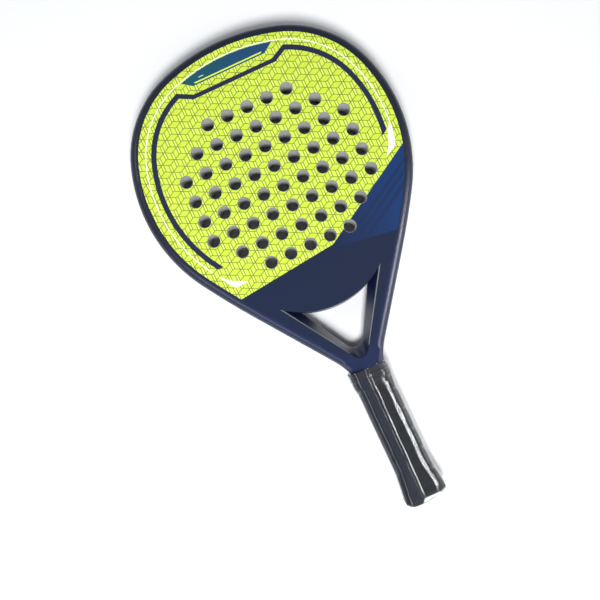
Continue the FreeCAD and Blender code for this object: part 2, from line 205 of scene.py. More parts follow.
def new_material(name, **fixed):
    """A Principled material; fixed holds values that are the same all over the surface."""
    material = bpy.data.materials.new(name)
    material.use_nodes = True
    shader = material.node_tree.nodes["Principled BSDF"]
    for label, value in fixed.items():
        shader.inputs[label.replace("_", " ")].default_value = value
    place = material.node_tree.nodes.new("ShaderNodeTexCoord").outputs["Object"]
    return material, material.node_tree, shader, place


def feed(tree, shader, label, socket):
    """Connect a socket to one of the shader's inputs."""
    tree.links.new(socket, shader.inputs[label])


def bump(tree, height, distance):
    """A normal tilted by a height map; distance is how deep the map's full range is."""
    return node(tree, "Bump", {"Height": height, "Distance": distance}).outputs["Normal"]


# %% [markdown]
# ## Effects that several finishes share
#
# Each of these is one node group with its own inputs. *Lacquer peel* is the slight orange peel
# and the faint smudging that every clear-coated surface has. *Foam cells* gives cut foam its open
# bubbles, with painted shade darkening their hollows. *Moulded grain* is the fine leather grain of soft
# plastic and rubber.

# %% Shared groups


def make_lacquer_peel():
    tree, given, result = group(
        "lacquer peel",
        [("Place", "Vector", None), ("Gloss", "Float", 0.3), ("Smudge", "Float", 0.08)],
        [("Roughness", "Float", None), ("Height", "Float", None)],
    )
    peel = node(tree, "TexNoise", {"Vector": given["Place"], "Scale": 900.0, "Detail": 1.0})
    cloud = node(tree, "TexNoise",
                 {"Vector": given["Place"], "Scale": 26.0, "Detail": 4.0, "Roughness": 0.6})
    swing = maths(tree, "MULTIPLY", maths(tree, "SUBTRACT", cloud.outputs[0], 0.5), given["Smudge"])
    tree.links.new(maths(tree, "ADD", swing, given["Gloss"]), result["Roughness"])
    tree.links.new(peel.outputs[0], result["Height"])


def make_foam_cells():
    tree, given, result = group(
        "foam cells",
        [("Place", "Vector", None), ("Cell", "Float", 1400.0)],
        [("Height", "Float", None), ("Tone", "Float", None)],
    )
    bubbles = node(tree, "TexVoronoi", {"Vector": given["Place"], "Scale": given["Cell"]})
    patches = node(tree, "TexNoise", {"Vector": given["Place"], "Scale": 160.0, "Detail": 3.0})
    hollow = maths(tree, "POWER", bubbles.outputs["Distance"], 0.7)
    tree.links.new(hollow, result["Height"])
    # The tone is painted shade in each bubble's hollow, darker where the bump dips, over random
    # patches.
    patchy = maths(tree, "MULTIPLY", patches.outputs[0], 0.5)
    tree.links.new(maths(tree, "MULTIPLY_ADD", hollow, 0.6, patchy), result["Tone"])


def make_moulded_grain():
    tree, given, result = group(
        "moulded grain",
        [("Place", "Vector", None), ("Grain", "Float", 1500.0)],
        [("Height", "Float", None), ("Tone", "Float", None)],
    )
    pebbles = node(tree, "TexVoronoi", {"Vector": given["Place"], "Scale": given["Grain"]},
                   feature="SMOOTH_F1")
    drift = node(tree, "TexNoise", {"Vector": given["Place"], "Scale": 45.0, "Detail": 3.0})
    tree.links.new(pebbles.outputs["Distance"], result["Height"])
    tree.links.new(drift.outputs[0], result["Tone"])


make_lacquer_peel()
make_foam_cells()
make_moulded_grain()
print("shared groups:", [g.name for g in bpy.data.node_groups])

# %% [markdown]
# ## The head's outline, as arcs
#
# The printed lines run parallel to the head's edge, so the print needs to know how far any point
# is from that edge. The edge is a chain of tangent arcs, and each arc's distance is a radius less
# the distance to a centre. The straight lines through two neighbouring centres say which arc is
# the nearest one. Working it out this way keeps every printed line as sharp as a cut stencil.

# %% Outline arcs
HEAD_TOP = cad_box[1][1]
HEAD_HALF_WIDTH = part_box("frame_tube")[1][0]
TOP_ARC, SHOULDER_TURN, SIDE_ARC, FLANK_ARC = (180.0, 18.0), 52.0, (145.0, 52.0), (800.0, 4.0)


def head_arcs():
    """Centre, radius and end heading of the arcs of the right half, from the top down."""
    start = math.radians(TOP_ARC[1])
    end = start + math.radians(SHOULDER_TURN)
    top, side = TOP_ARC[0] * MM, SIDE_ARC[0] * MM
    reach = HEAD_HALF_WIDTH - top * math.sin(start) - side * (1 - math.sin(end))
    shoulder = reach / (math.sin(end) - math.sin(start)) / MM
    arcs, heading, joint = [], 0.0, Vector((0.0, HEAD_TOP))
    for radius, turn in (TOP_ARC, (shoulder, SHOULDER_TURN), SIDE_ARC, FLANK_ARC):
        radius *= MM
        centre = joint - radius * Vector((math.sin(heading), math.cos(heading)))
        heading += math.radians(turn)
        joint = centre + radius * Vector((math.sin(heading), math.cos(heading)))
        arcs.append((centre, radius, heading, joint))
    return arcs


ARCS = head_arcs()


def make_rim_distance():
    tree, given, result = group(
        "rim distance", [("Place", "Vector", None)], [("Distance", "Float", None)]
    )
    split = node(tree, "SeparateXYZ", {0: given["Place"]}).outputs
    x, y = maths(tree, "ABSOLUTE", split[0]), split[1]
    flat = node(tree, "CombineXYZ", {0: x, 1: y}).outputs[0]
    distance = None
    for i, (centre, radius, _, _) in enumerate(ARCS + [(None, 0.0, 0.0, None)]):
        if centre is None:      # the straight arm below the last arc
            _, _, heading, joint = ARCS[-1]
            out = (math.sin(heading), math.cos(heading), 0.0)
            reach = vector_maths(tree, "DOT_PRODUCT", flat, out)
            here = maths(tree, "SUBTRACT", joint.x * out[0] + joint.y * out[1], reach)
        else:
            away = vector_maths(tree, "SUBTRACT", flat, (centre.x, centre.y, 0.0))
            here = maths(tree, "SUBTRACT", radius, vector_maths(tree, "LENGTH", away))
        if distance is None:
            distance = here
            continue
        _, _, heading, joint = ARCS[i - 1]
        along = (math.cos(heading), -math.sin(heading), 0.0)
        passed = maths(tree, "SUBTRACT", vector_maths(tree, "DOT_PRODUCT", flat, along),
                       joint.x * along[0] + joint.y * along[1])
        later = maths(tree, "GREATER_THAN", passed, 0.0)
        distance = node(tree, "Mix", {0: later, 2: distance, 3: here}, data_type="FLOAT").outputs[0]
    tree.links.new(distance, result["Distance"])


make_rim_distance()
print("head arcs (mm):", [round(radius / MM, 1) for _, radius, _, _ in ARCS])

# %% [markdown]
# ## The cube pattern
#
# Racket faces are often printed with rows of outlined cubes. A cube drawn this way is a hexagon
# with three spokes: above the two raised spokes is its lid, and below them are its two sides. Wrapping
# the plane into hexagons takes two offset grids, and each point belongs to the nearer centre. The
# drawing is the same on the left and on the right, so it is worked out on one half. Upright edges
# are pale bars between two thin lines, and the slanted edges are single lines.

# %% Cube tiling group
ROOT3 = math.sqrt(3.0)
CUBE_BAR = 0.088
LINE_SOFTNESS = 0.15 * MM


def make_cube_tiling():
    tree, given, result = group(
        "cube tiling",
        [("Place", "Vector", None), ("Cell", "Float", 0.0128), ("Line", "Float", 0.0005)],
        [("Lines", "Float", None), ("Bars", "Float", None), ("Lid", "Float", None)],
    )
    scale = maths(tree, "DIVIDE", 1.0, given["Cell"])
    place = node(tree, "VectorMath", {0: given["Place"], "Scale": scale},
                 operation="SCALE").outputs["Vector"]
    half = (0.5, ROOT3 / 2, 1.0)
    minus = (-0.5, -ROOT3 / 2, -1.0)
    first = vector_maths(tree, "WRAP", place, half, minus)
    moved = vector_maths(tree, "ADD", place, (0.5, ROOT3 / 2, 0.0))
    second = vector_maths(tree, "WRAP", moved, half, minus)
    nearer = maths(tree, "GREATER_THAN", vector_maths(tree, "LENGTH", first),
                   vector_maths(tree, "LENGTH", second))
    local = node(tree, "Mix", {0: nearer, 4: first, 5: second}, data_type="VECTOR").outputs[1]
    split = node(tree, "SeparateXYZ", {0: local}).outputs
    x, y = maths(tree, "ABSOLUTE", split[0]), split[1]

    lean = maths(tree, "MULTIPLY", maths(tree, "ABSOLUTE", y), ROOT3 / 2)
    rim = maths(tree, "SUBTRACT", 0.5, maths(tree, "MULTIPLY_ADD", x, 0.5, lean))
    above = maths(tree, "MULTIPLY_ADD", x, -0.5, maths(tree, "MULTIPLY", y, ROOT3 / 2))
    spoke = maths(tree, "ABSOLUTE", above)
    lid = maths(tree, "GREATER_THAN", above, 0.0)
    side_bar = maths(tree, "SUBTRACT", x, 0.5 - CUBE_BAR)
    front_bar = maths(tree, "SUBTRACT", CUBE_BAR, maths(tree, "ADD", x, lid))
    bars = maths(tree, "MAXIMUM", side_bar, front_bar)
    nearest = maths(tree, "MINIMUM", maths(tree, "MINIMUM", rim, spoke),
                    maths(tree, "ABSOLUTE", bars))
    metres = maths(tree, "MULTIPLY", nearest, given["Cell"])
    reach = maths(tree, "SUBTRACT", maths(tree, "MULTIPLY", given["Line"], 0.5), metres)
    soft = maths(tree, "MULTIPLY_ADD", reach, 1.0 / LINE_SOFTNESS, 0.5)
    tree.links.new(node(tree, "Clamp", {0: soft}).outputs[0], result["Lines"])
    tree.links.new(maths(tree, "GREATER_THAN", bars, 0.0), result["Bars"])
    tree.links.new(lid, result["Lid"])


make_cube_tiling()

# %% [markdown]
# ## The printed face
#
# The print is a stack of flat inks under a clear satin lacquer. From the bottom up: navy over
# everything, a blue panel with slanted stripes, a lime field with the cube pattern, a white
# pinstripe that follows the edge and swells into a wedge on each side, a dark frame line, and a
# blue-green badge at the top. Each ink is a shape given by straight cuts and by distance from
# the edge, so a sum of plane distances draws it. There is no lettering.

# %% Ink shapes
INK_EDGE = 0.12 * MM


def left_of(tree, x, y, start, end):
    """Signed distance to the left of the line from start to end, given in mm."""
    run = (Vector(end) - Vector(start)).normalized()
    offset = (start[0] * run.y - start[1] * run.x) * MM
    rise = maths(tree, "MULTIPLY", y, run.x)
    return maths(tree, "ADD", maths(tree, "MULTIPLY_ADD", x, -run.y, rise), offset)


def all_of(tree, *shapes):
    """Where all the shapes overlap."""
    joined = shapes[0]
    for shape in shapes[1:]:
        joined = maths(tree, "MINIMUM", joined, shape)
    return joined


def any_of(tree, *shapes):
    """Where any of the shapes is."""
    joined = shapes[0]
    for shape in shapes[1:]:
        joined = maths(tree, "MAXIMUM", joined, shape)
    return joined


def stripe(tree, distance, middle, width):
    """Inside a band of that width, in mm, round a middle distance."""
    off = maths(tree, "ABSOLUTE", maths(tree, "SUBTRACT", distance, middle * MM))
    return maths(tree, "SUBTRACT", width / 2 * MM, off)


def cover(tree, shape):
    """Turn a signed distance into how much ink covers the spot."""
    sharp = maths(tree, "MULTIPLY_ADD", shape, 1.0 / INK_EDGE, 0.5)
    return node(tree, "Clamp", {0: sharp}).outputs[0]


def cut_by(tree, x, y, *corners):
    """Inside a convex shape, given by its corners in mm, anticlockwise."""
    cuts = [left_of(tree, x, y, a, b) for a, b in zip(corners, corners[1:] + corners[:1])]
    return all_of(tree, *cuts)


# %% Print materials
INKS = {
    "navy": "16223F", "navy_deep": "121D38", "blue": "0B3266", "stripe": "12264F",
    "lime": "D4EB54", "lime_shade": "C0D63C", "olive": "5C6A16", "pale": "EEF98F",
    "white": "F4F8EE", "line": "1D2540", "badge_left": "14525C", "badge_right": "173F70",
    "edge": "8E9296",
}
INKS = {name: colour(code) for name, code in INKS.items()}
CUBE_WIDTH = 12.8
CUBE_SQUASH = 0.862
CUBE_ORIGIN = (-21.2, 182.4, 0.0)
CUBE_LINE = 0.68
PINSTRIPE_RIM = 15.4        # how far the middle of each line is from the head's edge, in mm
PINSTRIPE_WIDTH = 0.9
FRAME_LINE_RIM = 22.7
FRAME_LINE_WIDTH = 4.8
WEDGE_RIM = 14.9            # where the wedges and the badge stop short of the edge
BADGE_RIM = 16.4


def printed_face(name, badge):
    """The inks and the lacquer of one face sheet."""
    material, tree, shader, place = new_material(
        name, Specular_IOR_Level=0.5, Coat_Weight=0.35, Coat_Roughness=0.22)
    split = node(tree, "SeparateXYZ", {0: place}).outputs
    x, y = split[0], split[1]
    rim = use(tree, "rim distance", {"Place": place})["Distance"]

    drift = node(tree, "TexNoise", {"Vector": place, "Scale": 12.0, "Detail": 2.0}).outputs[0]
    base = mix(tree, drift, INKS["navy"], INKS["navy_deep"])

    slant = left_of(tree, x, y, (13.3, 15.4), (113.8, 74.7))
    foot = left_of(tree, x, y, (18.8, 14.7), (80.5, 5.6))
    panel = all_of(tree, maths(tree, "MULTIPLY", slant, -1.0), foot)
    fade = node(tree, "MapRange", {0: x, 1: 0.015, 2: 0.085, 3: 0.0, 4: 1.0}).outputs[0]
    base = mix(tree, maths(tree, "MULTIPLY", cover(tree, panel), fade), base, INKS["blue"])
    for middle, width in ((-9.5, 3.0), (-15.0, 3.4), (-21.5, 3.8)):
        bar = all_of(tree, stripe(tree, slant, middle, width), foot)
        base = mix(tree, maths(tree, "MULTIPLY", cover(tree, bar), 0.75), base, INKS["stripe"])

    floor_cut = left_of(tree, x, y, (-77.5, 7.9), (0.9, 16.4))
    field = cover(tree, all_of(tree, slant, floor_cut))
    on_grid = vector_maths(tree, "SUBTRACT", place, tuple(v * MM for v in CUBE_ORIGIN))
    squat = vector_maths(tree, "MULTIPLY", on_grid, (1.0, 1.0 / CUBE_SQUASH, 0.0))
    cubes = use(tree, "cube tiling", {"Place": squat, "Cell": CUBE_WIDTH * MM, "Line": CUBE_LINE * MM})
    patchy = node(tree, "TexNoise", {"Vector": place, "Scale": 60.0, "Detail": 2.0}).outputs[0]
    deeper = maths(tree, "MULTIPLY", maths(tree, "ADD", cubes["Lid"], patchy), 0.35)
    lime = mix(tree, deeper, INKS["lime"], INKS["lime_shade"])
    lime = mix(tree, maths(tree, "MULTIPLY", cubes["Bars"], 0.4), lime, INKS["pale"])
    lime = mix(tree, maths(tree, "MULTIPLY", cubes["Lines"], 0.88), lime, INKS["olive"])
    base = mix(tree, field, base, lime)

    above_wedges = left_of(tree, x, y, (-94.8, 40.0), (112.0, 88.0))
    pinstripe = all_of(tree, stripe(tree, rim, PINSTRIPE_RIM, PINSTRIPE_WIDTH), above_wedges)
    wedges = any_of(
        tree,
        cut_by(tree, x, y, (-93.2, 40.6), (-77.8, 19.7), (-79.5, 27.3)),
        cut_by(tree, x, y, (-79.8, 27.5), (-77.8, 19.7), (-64.5, 19.7)),
        cut_by(tree, x, y, (95.8, 70.0), (105.3, 74.7), (101.5, 79.0)),
        cut_by(tree, x, y, (101.5, 79.0), (105.3, 74.7), (110.3, 82.0), (111.5, 97.0), (107.2, 93.2)))
    inside_rim = maths(tree, "SUBTRACT", rim, WEDGE_RIM * MM)
    white = cover(tree, any_of(tree, pinstripe, all_of(tree, wedges, inside_rim)))
    base = mix(tree, white, base, INKS["white"])

    wide = maths(tree, "SUBTRACT", maths(tree, "ABSOLUTE", x), 53.0 * MM)
    low = maths(tree, "SUBTRACT", 198.5 * MM, y)
    left_end = maths(tree, "SUBTRACT", y, 41.1 * MM)
    right_end = left_of(tree, x, y, (100.8, 88.9), (105.7, 92.0))
    ends = any_of(tree, all_of(tree, maths(tree, "MULTIPLY", x, -1.0), left_end),
                  all_of(tree, x, right_end))
    mirrored = maths(tree, "ABSOLUTE", x)
    round_line = all_of(tree, stripe(tree, rim, FRAME_LINE_RIM, FRAME_LINE_WIDTH),
                        any_of(tree, wide, low), ends,
                        maths(tree, "SUBTRACT", mirrored, 51.0 * MM))
    bar = cut_by(tree, mirrored, y, (-1.0, 189.4), (42.0, 189.4), (42.0, 193.3), (-1.0, 193.3))
    rise = cut_by(tree, mirrored, y, (40.6, 189.4), (53.6, 196.0), (53.6, 201.0), (38.8, 193.3))
    dark = cover(tree, any_of(tree, round_line, bar, rise))
    base = mix(tree, dark, base, INKS["line"])

    if badge:
        within = maths(tree, "SUBTRACT", rim, BADGE_RIM * MM)
        hull = cut_by(tree, x, y, (-36.0, 200.4), (34.5, 200.4), (46.5, 208.6), (-47.5, 208.6))
        crown = cut_by(tree, x, y, (-47.5, 207.8), (46.5, 207.8), (46.5, 216.0), (-47.5, 216.0))
        panel = all_of(tree, any_of(tree, hull, crown), within)
        across = node(tree, "MapRange", {0: x, 1: -0.045, 2: 0.045, 3: 0.0, 4: 1.0}).outputs[0]
        blend = mix(tree, across, INKS["badge_left"], INKS["badge_right"])
        base = mix(tree, cover(tree, panel), base, blend)
        rule = cut_by(tree, x, y, (-32.7, 201.7), (31.3, 201.7), (33.0, 203.0), (-34.4, 203.0))
        dash = cut_by(tree, x, y, (-28.4, 205.5), (-23.6, 205.5), (-23.6, 206.0), (-28.4, 206.0))
        base = mix(tree, cover(tree, rule), base, INKS["lime"])
        base = mix(tree, cover(tree, dash), base, INKS["white"])

    tilt = node(tree, "SeparateXYZ", {0: node(tree, "NewGeometry").outputs["True Normal"]}).outputs[2]
    drilled_edge = maths(tree, "LESS_THAN", maths(tree, "ABSOLUTE", tilt), 0.9)
    base = mix(tree, drilled_edge, base, INKS["edge"])
    feed(tree, shader, "Base Color", base)
    peel = use(tree, "lacquer peel", {"Place": place, "Gloss": 0.36, "Smudge": 0.12})
    feed(tree, shader, "Roughness", peel["Roughness"])
    feed(tree, shader, "Normal", bump(tree, peel["Height"], 0.004 * MM))
    return material


front_print = printed_face("front print", badge=True)
back_print = printed_face("back print", badge=False)
print("front print:", len(front_print.node_tree.nodes), "nodes")

# %% [markdown]
# ## Finishes of the hard parts
#
# The frame, the bridge and the bare neck are one moulding to the eye: navy-black pigment under a
# satin lacquer. It is a little bluer down the arms than round the head. The foam walls inside
# the holes are matt grey, with cut bubbles.

# %% Frame lacquer


def frame_lacquer():
    """Navy-black pigment with a blue fleck under satin lacquer, bluer below the head."""
    material, tree, shader, place = new_material(
        "frame lacquer", Specular_IOR_Level=0.4, Coat_Weight=0.15, Coat_Roughness=0.16)
    y = node(tree, "SeparateXYZ", {0: place}).outputs[1]
    head = node(tree, "MapRange", {0: y, 1: -0.02, 2: 0.10, 3: 0.0, 4: 1.0}).outputs[0]
    base = mix(tree, head, colour("131F42"), colour("141928"))
    fleck = node(tree, "TexNoise", {"Vector": place, "Scale": 2600.0, "Detail": 1.0}).outputs[0]
    base = mix(tree, maths(tree, "MULTIPLY", fleck, 0.2), base, colour("2E3858"))
    feed(tree, shader, "Base Color", base)
    peel = use(tree, "lacquer peel", {"Place": place, "Gloss": 0.42, "Smudge": 0.14})
    feed(tree, shader, "Roughness", peel["Roughness"])
    feed(tree, shader, "Normal", bump(tree, peel["Height"], 0.005 * MM))
    return material


def cut_foam(name, dark, light, cell, depth):
    """Foam with cut bubbles: the bigger cell is, the smaller they are; depth is in mm."""
    material, tree, shader, place = new_material(name, Specular_IOR_Level=0.25)
    cells = use(tree, "foam cells", {"Place": place, "Cell": cell})
    # Each bubble's hollow is painted darker here: painted shade, under random patches of tone.
    feed(tree, shader, "Base Color", mix(tree, cells["Tone"], colour(dark), colour(light)))
    feed(tree, shader, "Roughness", maths(tree, "MULTIPLY_ADD", cells["Tone"], 0.1, 0.82))
    feed(tree, shader, "Normal", bump(tree, cells["Height"], depth * MM))
    return material


def moulded_plastic(name, dark, light, gloss, grain, depth):
    """Plastic or rubber with a fine grain; depth is in mm."""
    material, tree, shader, place = new_material(name)
    skin = use(tree, "moulded grain", {"Place": place, "Grain": grain})
    feed(tree, shader, "Base Color", mix(tree, skin["Tone"], colour(dark), colour(light)))
    feed(tree, shader, "Roughness", maths(tree, "MULTIPLY_ADD", skin["Tone"], 0.12, gloss))
    feed(tree, shader, "Normal", bump(tree, skin["Height"], depth * MM))
    return material


def drawn_steel():
    """Bare steel wire and pin, slightly uneven."""
    material, tree, shader, place = new_material("drawn steel", Metallic=1.0)
    lines = node(tree, "TexNoise", {"Vector": place, "Scale": 1800.0, "Detail": 2.0}).outputs[0]
    feed(tree, shader, "Base Color", mix(tree, lines, colour("8C8F92"), colour("C4C7CA")))
    feed(tree, shader, "Roughness", maths(tree, "MULTIPLY_ADD", lines, 0.2, 0.22))
    feed(tree, shader, "Normal", bump(tree, lines, 0.01 * MM))
    return material


lacquer = frame_lacquer()
core_foam = cut_foam("core foam", "A9ACA9", "DFE1DD", 1300.0, 0.10)
filler_foam = cut_foam("filler foam", "B9B3A2", "DAD5C6", 900.0, 0.2)
pallet_foam = cut_foam("pallet foam", "CBBF9F", "E6DCC2", 1700.0, 0.08)
cap_plastic = moulded_plastic("cap plastic", "0F1014", "1B1D23", 0.42, 1400.0, 0.02)
rubber = moulded_plastic("collar rubber", "0D0E12", "191B21", 0.5, 1900.0, 0.015)
vinyl = moulded_plastic("vinyl tape", "0B0B0E", "15161A", 0.28, 700.0, 0.01)
steel = drawn_steel()

# %% Dress the parts that keep their meshes
FINISHES = {
    "frame_tube": lacquer, "throat_bridge": lacquer, "front_face": front_print,
    "back_face": back_print, "foam_core": core_foam, "frame_foam": filler_foam,
    "bridge_foam": filler_foam, "pallet_front": pallet_foam, "pallet_back": pallet_foam,
    "butt_cap": cap_plastic, "finishing_tape": vinyl, "cap_staples": steel,
    "strap_pin": steel, "grip_tack": steel,
}
for part, finish in FINISHES.items():
    nodes[part].data.materials.clear()
    nodes[part].data.materials.append(finish)
print("dressed:", ", ".join(sorted(FINISHES)))

# %% [markdown]
# ## The handle's section
#
# The handle is eight-sided with rounded corners and flares out at the butt. Every soft part on
# it is a sleeve round the same section, so the section is a formula: eight flats, each a
# distance from the centre line, blended with a high power so that they meet in rounded corners.
# Given an angle, a height and a thickness, it returns a radius.

# %% Section formula
PALLET_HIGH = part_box("pallet_front")[1]
GRIP_LOW, GRIP_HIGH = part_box("grip_wrap")
COLLAR_LOW, COLLAR_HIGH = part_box("collar")
MID_Z = (GRIP_LOW.z + GRIP_HIGH.z) / 2
BUTT_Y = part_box("butt_cap")[0].y
GRIP_THICK = 1.6 * MM
FLAT_X = PALLET_HIGH.x
FLAT_Z = PALLET_HIGH.z - MID_Z
BEVEL = 4.6 * MM
FLARE_X = GRIP_HIGH.x - FLAT_X - GRIP_THICK
FLARE_Z = GRIP_HIGH.z - MID_Z - FLAT_Z - GRIP_THICK
FLARE_STEPS = (4.0, 12.0, 30.0)
FLARE_SHARES = (1.0, 0.69, 0.0)
CORNER_POWER = 30.0
AROUND = 144
ANGLES = np.linspace(0.0, 2 * math.pi, AROUND + 1)


def section_radius(angle, y, thick):
    """Radius of the handle's outside at an angle and a height, thick above the pallet."""
    share = np.interp((y - BUTT_Y) / MM, FLARE_STEPS, FLARE_SHARES)
    half_x = FLAT_X + share * FLARE_X
    half_z = FLAT_Z + share * FLARE_Z
    corner = (half_x + half_z - BEVEL) / math.sqrt(2.0)
    total = 0.0
    for k in range(8):
        reach = (half_x, corner, half_z, corner)[k % 4] + thick
        facing = np.maximum(0.0, np.cos(angle - k * math.pi / 4))
        total = total + (facing / reach) ** CORNER_POWER
    return total ** (-1.0 / CORNER_POWER)


print("handle flats (mm):", round(FLAT_X / MM, 1), round(FLAT_Z / MM, 1),
      "flare", round(FLARE_X / MM, 2), round(FLARE_Z / MM, 2))

# %% [markdown]
# ## Rolling a sheet into a sleeve
#
# A sleeve starts as a flat grid: its columns become the way round, and its rows the way along.
# Moving each row onto a ring rolls it up, and merging the doubles closes the seam. When the last
# row comes back to the first, the sleeve has an outside, an inside and closed ends. The grid's
# own UV map keeps its place in the sheet, which woven patterns need.

# %% Sleeve helper


def ring(y, radius, angles=ANGLES):
    """One row of points round the handle; radius is a number or one value for each angle."""
    radius = np.broadcast_to(radius, angles.shape)
    height = np.broadcast_to(y, angles.shape)
    return np.stack([radius * np.cos(angles), height, MID_Z + radius * np.sin(angles)], axis=1)


def rolled_sheet(name, rows, material):
    """Roll a grid onto the rows of points, close its seams, and dress it."""
    columns = len(rows[0])
    mesh = bmesh.new()
    mesh.loops.layers.uv.new("sheet")
    bmesh.ops.create_grid(mesh, x_segments=columns - 1, y_segments=len(rows) - 1, size=1.0,
                          calc_uvs=True)
    mesh.verts.ensure_lookup_table()
    for index, vertex in enumerate(mesh.verts):
        row, column = divmod(index, columns)
        vertex.co = rows[row][column]
    bmesh.ops.remove_doubles(mesh, verts=mesh.verts, dist=0.002 * MM)
    bmesh.ops.recalc_face_normals(mesh, faces=mesh.faces)
    for face in mesh.faces:
        face.smooth = True
    data = bpy.data.meshes.new(name)
    mesh.to_mesh(data)
    mesh.free()
    piece = bpy.data.objects.new(name, data)
    bpy.context.scene.collection.objects.link(piece)
    data.materials.append(material)
    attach(piece, "root")
    print(name, len(data.vertices), "points,", len(data.polygons), "faces")
    return piece


# %% [markdown]
# ## The wound grip
#
# A grip is a soft strip wound up the handle in a spiral, each turn lapping the last. The lap
# shows as a step that climbs round the handle. Here the step is a change of radius that depends
# on how far round the spiral a point is, so one sleeve has the whole winding in its shape. The
# strip's face is punched with small holes in staggered rows, drawn by its material, which paints
# each hole near-black as painted shade.

# %% Grip finish
TURN_PITCH = 20.0 * MM
PUNCHED_ROWS = 5.0          # rows of small holes on each turn
PUNCHED_ROUND = 24.0        # small holes in a row, once round the handle


def grip_skin():
    """Dark synthetic skin with a fine grain, punched in staggered rows, with painted shade in the
    holes.
    """
    material, tree, shader, place = new_material("grip skin", Specular_IOR_Level=0.3)
    split = node(tree, "SeparateXYZ", {0: place}).outputs
    height = maths(tree, "SUBTRACT", split[2], MID_Z)
    angle = maths(tree, "ARCTAN2", height, split[0])
    turn = maths(tree, "DIVIDE", angle, 2 * math.pi)
    climb = maths(tree, "DIVIDE", split[1], TURN_PITCH)
    spiral = maths(tree, "SUBTRACT", climb, turn)
    rows = maths(tree, "MULTIPLY", spiral, PUNCHED_ROWS)
    along = maths(tree, "MULTIPLY", turn, PUNCHED_ROUND)
    odd = maths(tree, "MODULO", maths(tree, "FLOOR", rows), 2.0)
    stagger = maths(tree, "MULTIPLY_ADD", odd, 0.5, along)
    u = maths(tree, "SUBTRACT", maths(tree, "FRACT", stagger), 0.5)
    v = maths(tree, "SUBTRACT", maths(tree, "FRACT", rows), 0.5)
    round_off = maths(tree, "SQRT", maths(tree, "ADD", maths(tree, "MULTIPLY", u, u),
                                          maths(tree, "MULTIPLY", v, v)))
    punched = node(tree, "MapRange", {0: round_off, 1: 0.13, 2: 0.2, 3: 0.0, 4: 1.0}).outputs[0]
    skin = use(tree, "moulded grain", {"Place": place, "Grain": 1300.0})
    base = mix(tree, skin["Tone"], colour("08090D"), colour("13151D"))
    # The holes are painted near-black: painted shade in each hole.
    feed(tree, shader, "Base Color", mix(tree, punched, colour("040405"), base))
    feed(tree, shader, "Roughness", maths(tree, "MULTIPLY_ADD", skin["Tone"], 0.15, 0.42))
    relief = maths(tree, "MULTIPLY_ADD", skin["Height"], 0.15, punched)
    feed(tree, shader, "Normal", bump(tree, relief, 0.18 * MM))
    return material


# %% Grip shape
GRIP_CROWN = 0.40           # these three are heights in mm
LAP_STEP = 0.50
GRIP_MEAN = 0.70
LAP_SHARE = 0.08            # the part of a turn that the lap's slope takes
GRIP_BACK = 0.1 * MM        # the inside of the wrap stands this far off the pallet


def grip_relief(angle, y):
    """How far the wound strip stands above its mean: a soft crown, and a step at each lap."""
    spiral = (y - BUTT_Y) / TURN_PITCH - angle / (2 * math.pi)
    across = spiral - np.floor(spiral)
    crown = GRIP_CROWN * (1.0 - np.abs(2 * across - 1.0) ** 3)
    up = np.clip(across / LAP_SHARE, 0.0, 1.0)
    down = np.clip((across - (1.0 - LAP_SHARE)) / LAP_SHARE, 0.0, 1.0)
    return (crown + LAP_STEP * (up - down) - GRIP_MEAN) * MM


def grip_outside(angle, y):
    """Radius of the wound grip's outside."""
    return section_radius(angle, y, GRIP_THICK) + grip_relief(angle, y)


grip_heights = np.linspace(GRIP_HIGH.y, GRIP_LOW.y, 170)
grip_rows = [ring(y, grip_outside(ANGLES, y)) for y in grip_heights]
grip_rows += [ring(y, section_radius(ANGLES, y, GRIP_BACK)) for y in grip_heights[::-5]]
grip_rows.append(grip_rows[0])
grip = rolled_sheet("wound_grip", grip_rows, grip_skin())
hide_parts("grip_wrap")

# %% [markdown]
# ## The rubber collar
#
# The collar is a moulded ring with raised ribs and rounded ends, stretched over the grip's top.
# Its profile is drawn as a handful of heights and thicknesses, with a smooth wave for the ribs.

# %% Collar shape
FRAME_RIB = 0.5 * MM        # how high the ribs of the frame's plain collar are
COLLAR_THICK = COLLAR_HIGH.x - FLAT_X - FRAME_RIB
COLLAR_BACK = 1.75 * MM     # the inside of the ring stands this far off the pallet
RIBS = 3
RIB_START = 0.30            # the share of the collar that is plain, from its top
RIB_RISE = 0.8
END_DROP = 0.6


def collar_outside(angle, y):
    """Ribs over the lower part, a plain band above, rounded over at both ends."""
    share = (COLLAR_HIGH.y - y) / (COLLAR_HIGH.y - COLLAR_LOW.y)
    ribbed = max(0.0, share - RIB_START) / (1.0 - RIB_START)
    wave = max(0.0, math.sin(2 * math.pi * RIBS * ribbed))
    ends = min(1.0, share / 0.06, (1.0 - share) / 0.05)
    relief = RIB_RISE * wave - END_DROP * (1.0 - ends) ** 2
    return section_radius(angle, y, COLLAR_THICK + relief * MM)


collar_heights = np.linspace(COLLAR_HIGH.y, COLLAR_LOW.y, 60)
collar_rows = [ring(y, collar_outside(ANGLES, y)) for y in collar_heights]
collar_rows += [ring(y, section_radius(ANGLES, y, COLLAR_BACK)) for y in collar_heights[::-6]]
collar_rows.append(collar_rows[0])
collar_ring = rolled_sheet("collar_ring", collar_rows, rubber)
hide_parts("collar")

# %% [markdown]
# ## The wrist strap
#
# The strap is a loop of flat polyester webbing. For storage it is folded along the handle, and the
# film holds it down: its upper layer runs straight up the front, and the one under it leans round
# to the left side. On the real thing both then bow over the butt's edge and go into the slot of
# the cap. Here the fold stops on the cap's end, short of the slot, so the slot stays open and
# shows its pin. Webbing is modelled as a strip of given width: a grid laid over the handle's
# section, with a woven material on the strip's own UV map.

# %% Webbing finish


